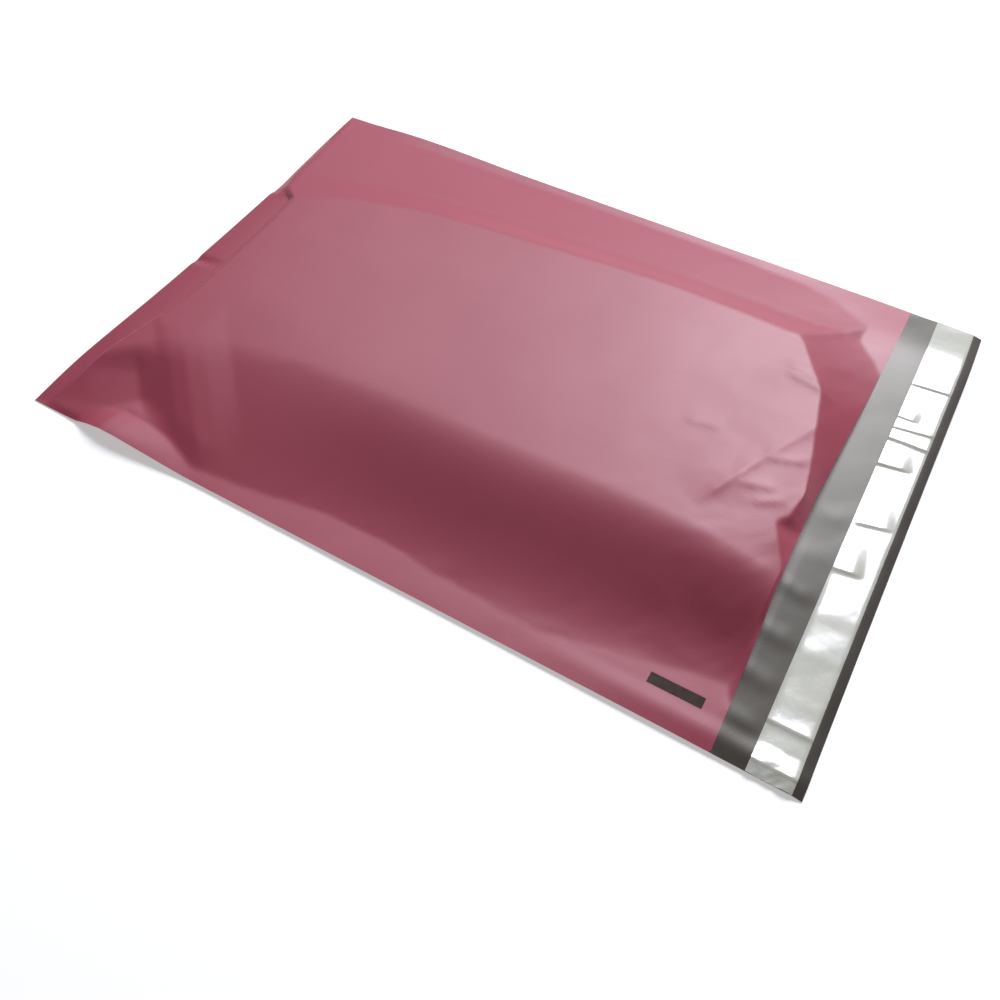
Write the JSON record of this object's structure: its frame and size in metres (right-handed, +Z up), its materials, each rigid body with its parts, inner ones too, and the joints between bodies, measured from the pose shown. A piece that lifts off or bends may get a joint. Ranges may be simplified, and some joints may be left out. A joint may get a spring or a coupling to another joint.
{
  "type": "poly mailer bag",
  "caption": "Polyethylene mailing bag with an open mouth, folded bottom, welded sides and a flap that carries a covered adhesive strip.",
  "frame": {"origin": "centre of the underside, on the surface the bag lies on", "axes": "+X from the bottom fold to the flap's free edge, +Y from the near side weld to the far side weld, +Z up out of the front panel"},
  "size_m": [0.4342, 0.2968, 0.0221],
  "materials": {
    "film": "satin pink polyethylene film outside, grey inside",
    "adhesive": "clear tacky pressure-sensitive adhesive",
    "liner": "glossy silvery-white release film"
  },
  "bodies": {
    "root": {"film_bag": "film", "adhesive_strip": "adhesive", "release_liner": "liner"}
  },
  "joints": []
}
